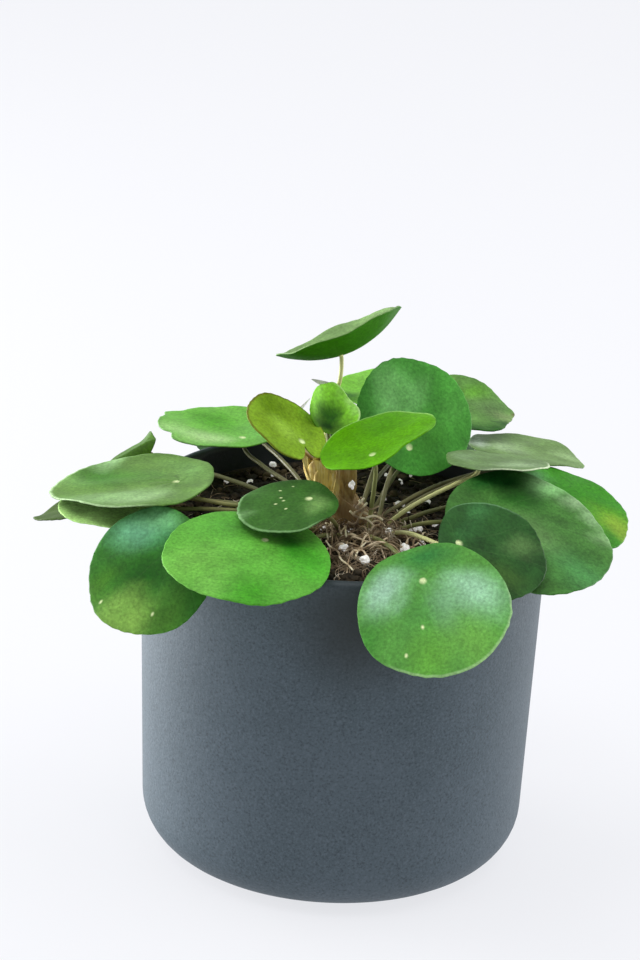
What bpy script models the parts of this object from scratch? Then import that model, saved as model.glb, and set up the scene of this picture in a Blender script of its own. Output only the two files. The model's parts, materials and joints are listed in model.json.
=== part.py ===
"""Chinese money plant, a young Pilea, standing in a round slate coloured pot.

Metres, +Z up. The origin is the middle of the pot's base, and the front of the plant faces -Y.
"""

import math
import random
from collections import namedtuple

import bmesh
import bpy
from mathutils import Matrix, Vector

MM = 0.001
GAP = 0.3 * MM

# Pot: a straight, slightly tapering wall, a large soft corner and a flat base
POT_HEIGHT = 153 * MM
POT_RIM_RADIUS = 85 * MM
POT_FOOT_RADIUS = 79.6 * MM
POT_CORNER = 22 * MM
POT_WALL = 5 * MM
POT_FLOOR = 7 * MM
POT_STEPS = 48

# Soil: a mound that is highest towards the front lip, lowest along the back wall
SOIL_PEAK_X = 5 * MM
SOIL_PEAK_Y = -48 * MM
SOIL_TOP = POT_HEIGHT - 2 * MM
SOIL_FALL = 10 * MM
SOIL_SPREAD = 62 * MM
SOIL_EDGE = POT_HEIGHT - 12 * MM
SOIL_RINGS = (0.12, 0.26, 0.4, 0.54, 0.68, 0.82, 0.93)
SOIL_STEPS = 36
SOIL_ROUGH = 0.7 * MM
GRAIN_COUNT = 20
GRAIN_PLACES = (  # those in sight from the front
    (0, -40), (9, -52), (28, 3), (26, -33), (2, 51), (-31, 66),
    (-31, 54), (-51, 47), (-41, 42), (17, 62), (25, 54),
)
GRAIN_RADIUS = (1.6 * MM, 2.8 * MM)
GRAIN_SPACING = 9 * MM
GRAIN_FIELD = 66 * MM
GRAIN_STEM_CLEAR = 5 * MM
GRAIN_PROUD = 0.15
GRAIN_SQUASH = (0.7, 1.0)
ROOT_BEARINGS = (-88, -55, -24, -128)
ROOT_START = 24 * MM
ROOT_LENGTH = 24 * MM
ROOT_RADIUS = 1.3 * MM
ROOT_TAPER = 0.07
ROOT_WANDER = 0.3
ROOT_LIFT = 0.3 * MM
ROOT_END_SUNK = 1.5 * MM
ROOT_STEPS = 6

# Trunk: short and leaning, with the dry stubs of old stalks
TRUNK_FOOT = (4 * MM, -16 * MM)
TRUNK_TOP = (-10 * MM, -13 * MM)
TRUNK_TOP_Z = POT_HEIGHT + 22 * MM
TRUNK_RADIUS = 8 * MM
TRUNK_SWELL = (0.95, 1.0, 0.94, 0.98, 0.88, 0.93, 0.84, 0.86, 0.82)
TRUNK_BENDS = 5
TRUNK_BENT = 0.77
TRUNK_CROWN = 2 * MM
TRUNK_BURIED = 9 * MM
TRUNK_HOLE_RADIUS = TRUNK_RADIUS + 1.2 * MM

# The stubs: bearing (degrees) and height over the soil (mm) of each one
STUBS = ((-95, 7), (-30, 10), (170, 9), (60, 8), (-140, 13))
STUB_LENGTH = 7 * MM
STUB_ROOTED = 5 * MM
STUB_STEEPNESS = 1.3
STUB_RADII = (1.7 * MM, 1.2 * MM)

# Blades: rings about the hub, a faintly lobed edge, and low waves (how many, how high, as
# shares of the radius) that grow towards the rim
BLADE_THICK = 0.8 * MM
BLADE_STEPS = 20
BLADE_RINGS = (1.0, 0.72, 0.4)
EDGE_LOBES = 5
EDGE_DEPTH = 0.014
RIM_WAVES = ((3, 0.022), (7, 0.012))

# Stalks: STALK_LOW is how far ahead and how far up the lower bend is, and STALK_HIGH how far
# down, inwards and back from the neck the upper bend is, as shares of the stalk's span
STALK_FOOT_RADIUS = 1.25 * MM
STALK_TIP_RADIUS = 0.95 * MM
STALK_BURIED = 6 * MM
STALK_STEPS = 7
STALK_NECK = 2.5 * MM
STALK_UPRIGHT = 1.5 * MM
STALK_LOW = (0.25, 0.12)
STALK_HIGH = (0.5, 0.8, 0.3)
STALK_CROWDING = 1.25
HOLE_SIDES = 10
HOLE_RADIUS = 1.7 * MM
HOLE_SPARE = 0.6 * MM
TRUNK_REACH = 5

# Stalks that pass over the pot's lip
CROSSES_LIP = 78 * MM
LIP_ZONE = 7 * MM
LIP_CLEAR = 2.6 * MM
LIP_ARCH = 3.4 * MM

# Each leaf: its hub's place from the pot's axis and height above the rim (mm), the width of
# its blade (mm), the bearing and rise of its tip and its roll (degrees), how far the hub is
# from the blade's middle, its sideways cup and lengthways curl (shares of the radius), how
# much it narrows towards its tip (a share), and its foot: the distance from the trunk (mm)
# and bearing. A short reach stands on the trunk.
LEAF_VALUES = "name colour x y z width bearing rise roll offset cup curl taper reach foot"
Leaf = namedtuple("Leaf", LEAF_VALUES)
LEAVES = [
    Leaf("top", "green", -9, 14, 70, 55, 68, -5.2, -29.3, 0.27, 0.36, 0.36, 0.0, 3.8, 95),
    Leaf("young_olive", "olive", -18, -26, 37, 37, 156, 32, -2, 0.50, 0.05, 0.03, 0.0, 3.8, 210),
    Leaf("young_upright", "lime", -6.5, -7, 41.3, 22, 84, 46, 30, 0.50, 0.42, 0.05, 0.1, 3.8, 30),
    Leaf("bright_centre", "lime", 10, -50, 41, 50, 82, 7, -18, 0.60, -0.05, -0.05, 0.0, 13, -62),
    Leaf("round_back", "green", 25, 17, 19, 52, 79, 45, 29, 0.60, -0.06, -0.05, 0.0, 13, 42),
    Leaf("back_right_bright", "lime", 19, 58, 30, 44, 120, -5, -5, 0.30, 0.06, 0.00, 0.0, 13, 80),
    Leaf("back_right", "pale", 41, 61, 24, 43, 14, -8, 12, 0.40, 0.14, -0.05, 0.0, 18.5, 67),
    Leaf("right_upper", "pale", 65, 42, 13, 50, 17, -12, -5, 0.46, 0.06, -0.06, 0.0, 18.5, 34),
    Leaf("right_edge_on", "pale", 54, -7, 24, 43, 44, -9, -6, 0.52, 0.02, -0.01, 0.0, 13, 4),
    Leaf("right_rear", "green", 83, 5, 9, 54, -35, -22, 0, 0.46, -0.05, -0.05, 0.0, 18.5, 16),
    Leaf("right_large", "dark", 58, -34, 13, 71, -25, -18, 9, 0.55, -0.05, -0.03, 0.0, 18.5, -14),
    Leaf("right_inner", "dark", 45, -73, 15, 47, 14, -14, 34, 0.65, -0.04, 0.03, 0.0, 18.5, -36),
    Leaf("front_right", "green", 32, -92, 6, 61, -66, -33, 20, 0.46, -0.05, -0.04, 0.0, 18.5, -72),
    Leaf("front_left", "lime", -31, -69, 10, 67, -120, -8, -7, 0.43, -0.04, -0.04, 0.0, 18.5, -106),
    Leaf("front_small", "dark", -14, -51, 22, 41, -157, -10, -5, 0.50, -0.03, -0.03, 0.0, 13, -115),
    Leaf("left_large", "dark", -66.4, -62, 4.2, 54, -152, -42, -29, 0.60, -0.05, -0.04, 0.06, 18.5, -144),
    Leaf("left_top", "pale", -69, -21, 15.6, 68, 176, -8, 3.5, 0.56, 0.05, -0.02, 0.25, 13, -165),
    Leaf("left_under", "olive", -85.5, -22, 5.1, 42, -155, 0, -3, 0.57, 0.00, -0.03, 0.0, 18.5, -160),
    Leaf("left_tip", "green", -87, 31, 11.5, 28, 168, -35, 10, 0.50, 0.10, 0.05, -0.6, 18.5, 168),
    Leaf("left_low", "dark", -104.5, 0, -2, 35, -163, -18, 12, 0.52, 0.10, 0.08, 0.45, 18.5, -176),
    Leaf("back_left", "pale", -44, 34, 15, 51, 135, 0, 2, 0.62, 0.06, 0.00, 0.0, 13, 140),
    Leaf("rear_left", "green", -44, 76, 4, 40, 114, -42, 0, 0.50, -0.05, -0.05, 0.0, 18.5, 140),
    Leaf("rear_middle", "dark", -7, 88, 5, 42, 98, -34, 0, 0.50, -0.05, -0.05, 0.0, 18.5, 106),
    Leaf("rear_right", "green", 32, 81, 4, 42, 72, -38, 0, 0.50, -0.05, -0.05, 0.0, 18.5, 88),
    Leaf("rear_far_right", "dark", 76, 54, 3, 38, 32, -32, 0, 0.50, -0.05, -0.05, 0.0, 18.5, 51),
]

# Extra bow low in a stalk (mm), where it passes behind another leaf
STALK_BOWS = {"top": (0, 29, 0)}

LEAF_COLOURS = {
    "green": (0.07, 0.24, 0.05),
    "dark": (0.03, 0.13, 0.04),
    "lime": (0.16, 0.36, 0.02),
    "olive": (0.22, 0.27, 0.02),
    "pale": (0.25, 0.36, 0.18),
}


def clear_scene():
    for block in list(bpy.data.objects):
        bpy.data.objects.remove(block, do_unlink=True)
    for block in list(bpy.data.collections):
        bpy.data.collections.remove(block)


def new_collection(name, hidden=False):
    group = bpy.data.collections.new(name)
    bpy.context.scene.collection.children.link(group)
    group.hide_render = hidden
    return group


def new_material(name, colour, roughness):
    material = bpy.data.materials.new(name)
    material.use_nodes = True
    shader = material.node_tree.nodes["Principled BSDF"]
    shader.inputs["Base Color"].default_value = (*colour, 1.0)
    shader.inputs["Roughness"].default_value = roughness
    return material


def welded_copy(source, name, group):
    """Turns an object with its modifiers into a plain welded mesh object."""
    bpy.context.view_layer.update()
    graph = bpy.context.evaluated_depsgraph_get()
    mesh = bpy.data.meshes.new_from_object(source.evaluated_get(graph))
    shape = bmesh.new()
    shape.from_mesh(mesh)
    bmesh.ops.remove_doubles(shape, verts=shape.verts, dist=0.01 * MM)
    bmesh.ops.recalc_face_normals(shape, faces=shape.faces)
    shape.to_mesh(mesh)
    shape.free()
    bpy.data.objects.remove(source, do_unlink=True)
    item = bpy.data.objects.new(name, mesh)
    group.objects.link(item)
    return item


def tube(name, points, radii, group, resolution=2):
    """A capped round tube through the points, with a radius for each point."""
    curve = bpy.data.curves.new(name, "CURVE")
    curve.dimensions = "3D"
    curve.bevel_depth = 1.0
    curve.bevel_resolution = resolution
    curve.use_fill_caps = True
    spline = curve.splines.new("POLY")
    spline.points.add(len(points) - 1)
    for slot, point, radius in zip(spline.points, points, radii):
        slot.co = (*point, 1.0)
        slot.radius = radius
    item = bpy.data.objects.new(name + "_curve", curve)
    group.objects.link(item)
    return welded_copy(item, name, group)


def lathe(name, profile, steps, group):
    """Turns a profile of radius and height about +Z, from the outer top downwards."""
    edges = []
    for i in range(len(profile) - 1):
        on_axis = profile[i][0] == 0.0 and profile[i + 1][0] == 0.0
        if not on_axis:
            edges.append((i, i + 1))
    mesh = bpy.data.meshes.new(name)
    mesh.from_pydata([(radius, 0.0, height) for radius, height in profile], edges, [])
    item = bpy.data.objects.new(name + "_profile", mesh)
    group.objects.link(item)
    screw = item.modifiers.new("Turn", "SCREW")
    screw.axis = "Z"
    screw.angle = math.tau
    screw.steps = steps
    screw.render_steps = steps
    screw.use_merge_vertices = True
    screw.merge_threshold = 0.0001
    screw.use_normal_calculate = True
    return welded_copy(item, name, group)


def arc(centre_r, centre_z, radius, start, end, count):
    """Points along an arc in the profile plane, the angles in degrees."""
    points = []
    for i in range(count + 1):
        angle = math.radians(start + (end - start) * i / count)
        points.append((centre_r + radius * math.cos(angle), centre_z + radius * math.sin(angle)))
    return points


def wall_radius(height):
    """Outer radius of the straight part of the pot's wall."""
    share = height / POT_HEIGHT
    return POT_FOOT_RADIUS + (POT_RIM_RADIUS - POT_FOOT_RADIUS) * share


def cavity_radius(height):
    return wall_radius(height) - POT_WALL


def wall_slope():
    """How far the wall leans outwards, in degrees."""
    return math.degrees(math.atan2(POT_RIM_RADIUS - POT_FOOT_RADIUS, POT_HEIGHT))


def make_pot(group):
    lip = POT_WALL / 2
    slope = wall_slope()
    lip_z = POT_HEIGHT - lip
    lip_r = wall_radius(lip_z) - lip
    corner_r = wall_radius(POT_CORNER) - POT_CORNER
    inner_corner = POT_CORNER - POT_WALL
    inner_z = POT_FLOOR + inner_corner
    inner_r = cavity_radius(inner_z) - inner_corner
    profile = arc(lip_r, lip_z, lip, 90, 0, 3)
    profile += arc(corner_r, POT_CORNER, POT_CORNER, -slope, -90, 7)
    profile += [(0.0, 0.0), (0.0, POT_FLOOR)]
    profile += arc(inner_r, inner_z, inner_corner, -90, -slope, 5)
    profile += arc(lip_r, lip_z, lip, 180, 90, 3)
    return lathe("pot", profile, POT_STEPS, group)


def soil_height(x, y):
    away = math.hypot(x - SOIL_PEAK_X, y - SOIL_PEAK_Y) / SOIL_SPREAD
    return SOIL_TOP - SOIL_FALL * (1 - math.exp(-away * away))


def make_soil(group):
    """Fills the pot. The top follows the mound, with a rough surface away from the wall."""
    draw = random.Random(11)
    edge_r = cavity_radius(SOIL_EDGE) - GAP
    rough_r = edge_r * 0.97
    inner_corner = POT_CORNER - POT_WALL
    inner_z = POT_FLOOR + inner_corner + GAP
    inner_r = cavity_radius(inner_z) - inner_corner
    profile = [(edge_r * ring, POT_HEIGHT) for ring in (0.0, *SOIL_RINGS, 1.0)]
    profile += arc(inner_r, inner_z, inner_corner - GAP, -wall_slope(), -90, 5)
    profile += [(0.0, POT_FLOOR + GAP)]
    soil = lathe("soil_body", profile, SOIL_STEPS, group)
    for vertex in soil.data.vertices:
        if vertex.co.z > POT_HEIGHT - GAP:
            x, y = vertex.co.x, vertex.co.y
            rough = draw.uniform(-SOIL_ROUGH, SOIL_ROUGH) if math.hypot(x, y) < rough_r else 0.0
            vertex.co.z = soil_height(x, y) + rough
    split = soil.modifiers.new("Split", "TRIANGULATE")
    split.quad_method = "SHORTEST_DIAGONAL"
    return welded_copy(soil, "soil", group)


def combine(target, other, operation, group):
    change = target.modifiers.new(operation.title(), "BOOLEAN")
    change.operation = operation
    change.object = other
    name = target.name
    target.name = name + "_before"
    result = welded_copy(target, name, group)
    bpy.data.objects.remove(other, do_unlink=True)
    return result


def joined(items, name, group):
    """Joins separate closed pieces into one cutter or one set of bumps."""
    shape = bmesh.new()
    for item in items:
        start = len(shape.verts)
        shape.from_mesh(item.data)
        shape.verts.ensure_lookup_table()
        bmesh.ops.transform(shape, matrix=item.matrix_world, verts=shape.verts[start:])
        bpy.data.objects.remove(item, do_unlink=True)
    mesh = bpy.data.meshes.new(name)
    shape.to_mesh(mesh)
    shape.free()
    whole = bpy.data.objects.new(name, mesh)
    whole.display_type = "WIRE"
    group.objects.link(whole)
    return whole


def move_to(item, group):
    """Moves a new primitive into a collection and brings its matrix up to date."""
    for old in list(item.users_collection):
        old.objects.unlink(item)
    group.objects.link(item)
    bpy.context.view_layer.update()
    return item


def stem_hole(x, y, radius, depth, cutters):
    low = soil_height(x, y) - depth - HOLE_SPARE
    high = POT_HEIGHT + TRUNK_RADIUS
    bpy.ops.mesh.primitive_cylinder_add(
        vertices=HOLE_SIDES, radius=radius, depth=high - low, location=(x, y, (high + low) / 2)
    )
    return move_to(bpy.context.object, cutters)


def perlite_grain(x, y, radius, draw, cutters):
    """One grain of perlite, about half sunk in the soil."""
    bpy.ops.mesh.primitive_ico_sphere_add(
        subdivisions=1,
        radius=radius,
        location=(x, y, soil_height(x, y) + GRAIN_PROUD * radius),
        rotation=[draw.uniform(0, math.pi) for axis in range(3)],
    )
    item = bpy.context.object
    item.scale = (1.0, draw.uniform(*GRAIN_SQUASH), draw.uniform(*GRAIN_SQUASH))
    return move_to(item, cutters)


def perlite_spots(feet, draw):
    """The chosen places (mm) and then random ones, clear of stems, trunk and each other."""
    chosen = [Vector(place) * MM for place in GRAIN_PLACES]
    spots = []
    while len(spots) < GRAIN_COUNT:
        far = GRAIN_FIELD * math.sqrt(draw.random())
        angle = draw.uniform(0, math.tau)
        spot = Vector((far * math.cos(angle), far * math.sin(angle)))
        if chosen:
            spot = chosen.pop(0)
        near_stem = any((spot - foot).length < GRAIN_STEM_CLEAR for foot in feet)
        near_grain = any((spot - other).length < GRAIN_SPACING for other in spots)
        near_trunk = (spot - Vector(TRUNK_FOOT)).length < 2 * TRUNK_RADIUS
        if not (near_stem or near_grain or near_trunk):
            spots.append(spot)
    return spots


def surface_root(bearing, draw, cutters, index):
    """A root that wanders out from the trunk, half sunk along its whole length."""
    angle = math.radians(bearing)
    place = Vector(TRUNK_FOOT) + ROOT_START * Vector((math.cos(angle), math.sin(angle)))
    points = []
    radii = []
    for i in range(ROOT_STEPS + 1):
        sunk = i in (0, ROOT_STEPS)
        lift = -ROOT_END_SUNK if sunk else ROOT_LIFT
        points.append((place.x, place.y, soil_height(place.x, place.y) + lift))
        radii.append(ROOT_RADIUS * (1 - ROOT_TAPER * i))
        angle += draw.uniform(-ROOT_WANDER, ROOT_WANDER)
        place = place + ROOT_LENGTH / ROOT_STEPS * Vector((math.cos(angle), math.sin(angle)))
    return tube("root_%d" % index, points, radii, cutters, resolution=1)


def foot_of(leaf):
    """Where a stalk stands, on the soil or on the top of the trunk."""
    angle = math.radians(leaf.foot)
    centre = TRUNK_TOP if leaf.reach <= TRUNK_REACH else TRUNK_FOOT
    return Vector(centre) + leaf.reach * MM * Vector((math.cos(angle), math.sin(angle)))


def dress_soil(soil, group, cutters):
    """Adds the perlite and the surface roots, then the plain holes for stalks and trunk."""
    draw = random.Random(23)
    feet = [foot_of(leaf) for leaf in LEAVES if leaf.reach > TRUNK_REACH]
    grains = []
    for spot in perlite_spots(feet, draw):
        grains.append(perlite_grain(spot.x, spot.y, draw.uniform(*GRAIN_RADIUS), draw, cutters))
    soil = combine(soil, joined(grains, "perlite_grains", cutters), "UNION", group)
    for index, bearing in enumerate(ROOT_BEARINGS):
        soil = combine(soil, surface_root(bearing, draw, cutters, index), "UNION", group)
    holes = [stem_hole(foot.x, foot.y, HOLE_RADIUS, STALK_BURIED, cutters) for foot in feet]
    holes.append(stem_hole(*TRUNK_FOOT, TRUNK_HOLE_RADIUS, TRUNK_BURIED, cutters))
    return combine(soil, joined(holes, "stem_holes", cutters), "DIFFERENCE", group)


def trunk_axis(share, ground):
    """Middle of the trunk at a share of its height over the soil."""
    bend = share * share * (3 - 2 * share)
    flat = Vector(TRUNK_FOOT).lerp(Vector(TRUNK_TOP), bend)
    return Vector((flat.x, flat.y, ground + (TRUNK_TOP_Z - ground) * share))


def make_trunk(group, cutters):
    ground = soil_height(*TRUNK_FOOT)
    points = [(*TRUNK_FOOT, ground - TRUNK_BURIED), (*TRUNK_FOOT, ground)]
    for i in range(TRUNK_BENDS):
        points.append(trunk_axis(TRUNK_BENT * (i + 1) / TRUNK_BENDS, ground))
    points += [(*TRUNK_TOP, TRUNK_TOP_Z - TRUNK_CROWN), (*TRUNK_TOP, TRUNK_TOP_Z)]
    radii = [TRUNK_RADIUS * swell for swell in TRUNK_SWELL]
    trunk = tube("trunk", points, radii, group, resolution=3)
    stubs = []
    for i, (bearing, height) in enumerate(STUBS):
        angle = math.radians(bearing)
        flat = Vector((math.cos(angle), math.sin(angle), 0.0))
        middle = trunk_axis(height * MM / (TRUNK_TOP_Z - ground), ground)
        start = middle + STUB_ROOTED * flat
        end = start + STUB_LENGTH * (flat + Vector((0, 0, STUB_STEEPNESS))).normalized()
        stubs.append(tube("stub_%d" % i, [start, end], STUB_RADII, cutters, resolution=1))
    return combine(trunk, joined(stubs, "dry_stubs", cutters), "UNION", group)


def blade_turn(leaf):
    """Rotation that takes +X to the blade's tip and +Z to its upper face."""
    bearing = Matrix.Rotation(math.radians(leaf.bearing), 3, "Z")
    rise = Matrix.Rotation(-math.radians(leaf.rise), 3, "Y")
    roll = Matrix.Rotation(math.radians(leaf.roll), 3, "X")
    return bearing @ rise @ roll


def blade_lift(leaf, along, across):
    """Height of the blade over its own flat disc, in shares of the blade's radius."""
    return leaf.cup * (across * across - 0.5) + leaf.curl * (along * along - 0.5)


def blade_hub(leaf):
    """Where the stalk meets the blade, on its upper face."""
    flat_hub = Vector((leaf.x, leaf.y, leaf.z)) * MM + Vector((0, 0, POT_HEIGHT))
    lift = blade_lift(leaf, -leaf.offset, 0.0) * leaf.width / 2 * MM
    return flat_hub + blade_turn(leaf) @ Vector((0, 0, lift))


def make_blade(leaf, seed, group):
    """A round blade with its rings about the hub, cupped, curled and waved at the rim."""
    draw = random.Random(seed)
    lobe_phase = draw.uniform(0, math.tau)
    phases = (draw.uniform(0, math.tau), lobe_phase)
    radius = leaf.width / 2 * MM
    hub_lift = blade_lift(leaf, -leaf.offset, 0.0)
    profile = [(ring, 0.0) for ring in (*BLADE_RINGS, 0.0)]
    item = lathe("leaf_" + leaf.name, profile, BLADE_STEPS, group)
    if item.data.polygons[0].normal.z < 0:
        item.data.flip_normals()
    for vertex in item.data.vertices:
        share = math.hypot(vertex.co.x, vertex.co.y)
        angle = math.atan2(vertex.co.y, vertex.co.x)
        edge = 1 + EDGE_DEPTH * math.cos(EDGE_LOBES * angle + lobe_phase)
        along = share * (edge * math.cos(angle) + leaf.offset)
        narrowed = 1 - leaf.taper * (along - leaf.offset)
        across = share * edge * math.sin(angle) * narrowed
        wave = 0.0
        for (count, height), phase in zip(RIM_WAVES, phases):
            wave += height * math.cos(count * angle + phase)
        lift = blade_lift(leaf, along - leaf.offset, across) - hub_lift + wave * share**3
        vertex.co = radius * Vector((along, across, lift))
    item.location = blade_hub(leaf)
    item.rotation_euler = blade_turn(leaf).to_euler()
    for step, kind in (("Split", "TRIANGULATE"), ("Thickness", "SOLIDIFY"), ("Rim", "TRIANGULATE")):
        change = item.modifiers.new(step, kind)
        if kind == "SOLIDIFY":
            change.thickness = BLADE_THICK
            change.offset = -1.0
        else:
            change.quad_method = "FIXED"
    return item


def stalk_path(leaf):
    """From the plain hole in the soil, or the trunk's top, up to just under the hub."""
    face = blade_turn(leaf) @ Vector((0, 0, 1))
    foot = foot_of(leaf)
    tip = blade_hub(leaf) - face * (BLADE_THICK + GAP)
    neck = tip - face * STALK_NECK
    if leaf.reach <= TRUNK_REACH:
        start = Vector((foot.x, foot.y, TRUNK_TOP_Z + GAP))
        begin = start + Vector((0, 0, STALK_UPRIGHT))
    else:
        ground = soil_height(foot.x, foot.y)
        start = Vector((foot.x, foot.y, ground - STALK_BURIED))
        begin = Vector((foot.x, foot.y, ground + STALK_UPRIGHT))
    span = (neck - begin).length
    out = Vector((neck.x - begin.x, neck.y - begin.y, 0.0)).normalized()
    bow = Vector(STALK_BOWS.get(leaf.name, (0, 0, 0))) * MM
    ahead, lift = STALK_LOW
    low = begin + (neck - begin) * ahead + Vector((0, 0, lift * span)) + bow
    down, inwards, back = STALK_HIGH
    high = neck - (face * down + out * inwards).normalized() * back * span
    if math.hypot(neck.x, neck.y) > CROSSES_LIP:
        high.z = max(high.z, POT_HEIGHT + LIP_ARCH)
    points = [start]
    for i in range(STALK_STEPS - 1):
        t = (i / (STALK_STEPS - 2)) ** STALK_CROWDING
        s = 1 - t
        place = begin * s**3 + low * 3 * s * s * t + high * 3 * s * t * t + neck * t**3
        from_lip = math.hypot(place.x, place.y) - (POT_RIM_RADIUS - POT_WALL / 2)
        if abs(from_lip) < LIP_ZONE:
            place.z = max(place.z, POT_HEIGHT + LIP_CLEAR)
        points.append(place)
    points.append(tip)
    return points


def make_stalk(leaf, group):
    """A stalk with its origin at its foot."""
    points = stalk_path(leaf)
    start = points[0].copy()
    taper = (STALK_TIP_RADIUS - STALK_FOOT_RADIUS) / (len(points) - 1)
    radii = [STALK_FOOT_RADIUS + taper * i for i in range(len(points))]
    item = tube("stalk_" + leaf.name, [point - start for point in points], radii, group)
    item.location = start
    return item


def dress(item, material, base):
    item.data.materials.clear()
    item.data.materials.append(material)
    item.parent = base


def build():
    clear_scene()
    parts = new_collection("potted_chinese_money_plant")
    cutters = new_collection("cutters", hidden=True)
    base = bpy.data.objects.new("pot_base", None)
    parts.objects.link(base)

    pot = make_pot(parts)
    dress(pot, new_material("pot_slate", (0.08, 0.10, 0.13), 0.85), base)
    soil = dress_soil(make_soil(parts), parts, cutters)
    dress(soil, new_material("soil_dark", (0.035, 0.024, 0.017), 0.95), base)
    trunk = make_trunk(parts, cutters)
    dress(trunk, new_material("trunk_bark", (0.20, 0.11, 0.04), 0.8), base)
    for item in (pot, trunk):
        item.data.shade_smooth()
        item.data.set_sharp_from_angle(angle=math.radians(40))

    for number, leaf in enumerate(LEAVES):
        blade = make_blade(leaf, 40 + number, parts)
        dress(blade, new_material("blade_" + leaf.name, LEAF_COLOURS[leaf.colour], 0.4), base)
        stalk = make_stalk(leaf, parts)
        dress(stalk, new_material("petiole_" + leaf.name, (0.35, 0.36, 0.16), 0.5), base)
        for item in (blade, stalk):
            item.data.shade_smooth()


build()
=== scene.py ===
import json
import math
import random

import bmesh
import bpy
import numpy as np
from mathutils import Matrix, Vector, noise


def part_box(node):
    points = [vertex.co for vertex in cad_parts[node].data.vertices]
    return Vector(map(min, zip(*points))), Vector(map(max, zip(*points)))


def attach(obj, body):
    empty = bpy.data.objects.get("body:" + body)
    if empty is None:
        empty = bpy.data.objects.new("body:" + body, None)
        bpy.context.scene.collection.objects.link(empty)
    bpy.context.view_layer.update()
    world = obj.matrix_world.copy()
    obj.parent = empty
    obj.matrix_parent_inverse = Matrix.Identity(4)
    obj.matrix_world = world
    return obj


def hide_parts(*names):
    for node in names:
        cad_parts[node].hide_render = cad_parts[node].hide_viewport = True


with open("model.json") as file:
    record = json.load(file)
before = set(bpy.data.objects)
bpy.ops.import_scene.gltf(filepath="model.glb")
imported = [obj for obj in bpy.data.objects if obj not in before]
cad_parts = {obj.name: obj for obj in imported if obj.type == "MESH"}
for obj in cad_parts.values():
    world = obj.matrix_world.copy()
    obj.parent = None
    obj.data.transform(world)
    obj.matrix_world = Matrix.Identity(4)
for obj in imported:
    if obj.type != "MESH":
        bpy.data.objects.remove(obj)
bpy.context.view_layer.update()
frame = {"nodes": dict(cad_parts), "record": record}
mm = 0.001
slotOf = {row["node"]: row["material_slot"] for row in frame["record"]["subparts"]}
print("frame:", len(frame["nodes"]), "nodes")


# colours and shader maths

def colour(red, green, blue):  # the usual 0 to 255 values
    def linear(value):
        share = value / 255
        return share / 12.92 if share <= 0.04045 else ((share + 0.055) / 1.055) ** 2.4
    return (linear(red), linear(green), linear(blue), 1.0)


class Wire:  # a node's output; sums on it add Math nodes
    def __init__(self, finish, socket):
        self.finish = finish
        self.socket = socket

    def __add__(self, other):
        return self.finish.maths("ADD", self, other)

    def __sub__(self, other):
        return self.finish.maths("SUBTRACT", self, other)

    def __rsub__(self, other):
        return self.finish.maths("SUBTRACT", other, self)

    def __mul__(self, other):
        return self.finish.maths("MULTIPLY", self, other)

    __radd__ = __add__
    __rmul__ = __mul__


class Finish:  # one material
    def __init__(self, name, shine):
        self.material = bpy.data.materials.new(name)
        self.material.use_nodes = True
        self.nodes = self.material.node_tree.nodes
        self.links = self.material.node_tree.links
        self.shader = self.nodes["Principled BSDF"]
        self.set("Specular IOR Level", shine)

    def feed(self, socket, value):
        if isinstance(value, Wire):
            self.links.new(value.socket, socket)
        else:
            socket.default_value = value

    def node(self, kind, settings=None, values=None, output=0):
        item = self.nodes.new(kind)
        for key, value in (settings or {}).items():
            setattr(item, key, value)
        for key, value in (values or {}).items():
            self.feed(item.inputs[key], value)
        return Wire(self, item.outputs[output])

    def maths(self, kind, first, second=0.0):
        return self.node("ShaderNodeMath", {"operation": kind}, {0: first, 1: second})

    def objectPlace(self):
        return self.node("ShaderNodeTexCoord", output="Object")

    def axis(self, place, name):
        return self.node("ShaderNodeSeparateXYZ", values={0: place}, output=name)

    def mix(self, share, first, second):
        return self.node("ShaderNodeMix", {"data_type": "RGBA"}, {0: share, 6: first, 7: second}, 2)

    def shade(self, tone, light):  # a tone made lighter or darker by a wire that runs round 1
        settings = {"data_type": "RGBA", "blend_type": "MULTIPLY"}
        return self.node("ShaderNodeMix", settings, {0: 1.0, 6: tone, 7: light}, 2)

    def rise(self, value, low, high):  # 0 below low, 1 above high, smooth between
        settings = {"interpolation_type": "SMOOTHSTEP"}
        return self.node("ShaderNodeMapRange", settings, {0: value, 1: low, 2: high})

    def away(self, place, centre):  # the distance of a place from a fixed point
        settings = {"operation": "DISTANCE"}
        return self.node("ShaderNodeVectorMath", settings, {0: place, 1: centre}, "Value")

    def grain(self, place, scale, detail=3.0, rough=0.5):
        values = {"Vector": place, "Scale": scale, "Detail": detail, "Roughness": rough}
        return self.node("ShaderNodeTexNoise", values=values)

    def stretched(self, place, scale):
        return self.node("ShaderNodeMapping", values={"Vector": place, "Scale": scale})

    def set(self, socket, value):
        self.feed(self.shader.inputs[socket], value)

    def done(self, tone, roughness, height, depth, strength=1.0):  # the last links, then the material
        self.set("Base Color", tone)
        self.set("Roughness", roughness)
        values = {"Height": height, "Distance": depth, "Strength": strength}
        self.set("Normal", self.node("ShaderNodeBump", values=values))
        return self.material


# modelling helpers

def added(operator, **settings):  # a new primitive, curve, lamp or camera, alone in the selection
    bpy.ops.object.select_all(action="DESELECT")
    operator(**settings)
    return bpy.context.object


def pick(item, kind, test):  # in edit mode, selects only what passes the test
    bpy.ops.mesh.select_mode(type=kind)
    bpy.ops.mesh.select_all(action="DESELECT")
    shape = bmesh.from_edit_mesh(item.data)
    for element in {"VERT": shape.verts, "EDGE": shape.edges, "FACE": shape.faces}[kind]:
        if test(element):
            element.select_set(True)
    shape.select_flush_mode()
    bmesh.update_edit_mesh(item.data)


def editMode(item):
    bpy.context.view_layer.objects.active = item
    bpy.ops.object.mode_set(mode="EDIT")


def objectMode():
    bpy.ops.object.mode_set(mode="OBJECT")


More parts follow.
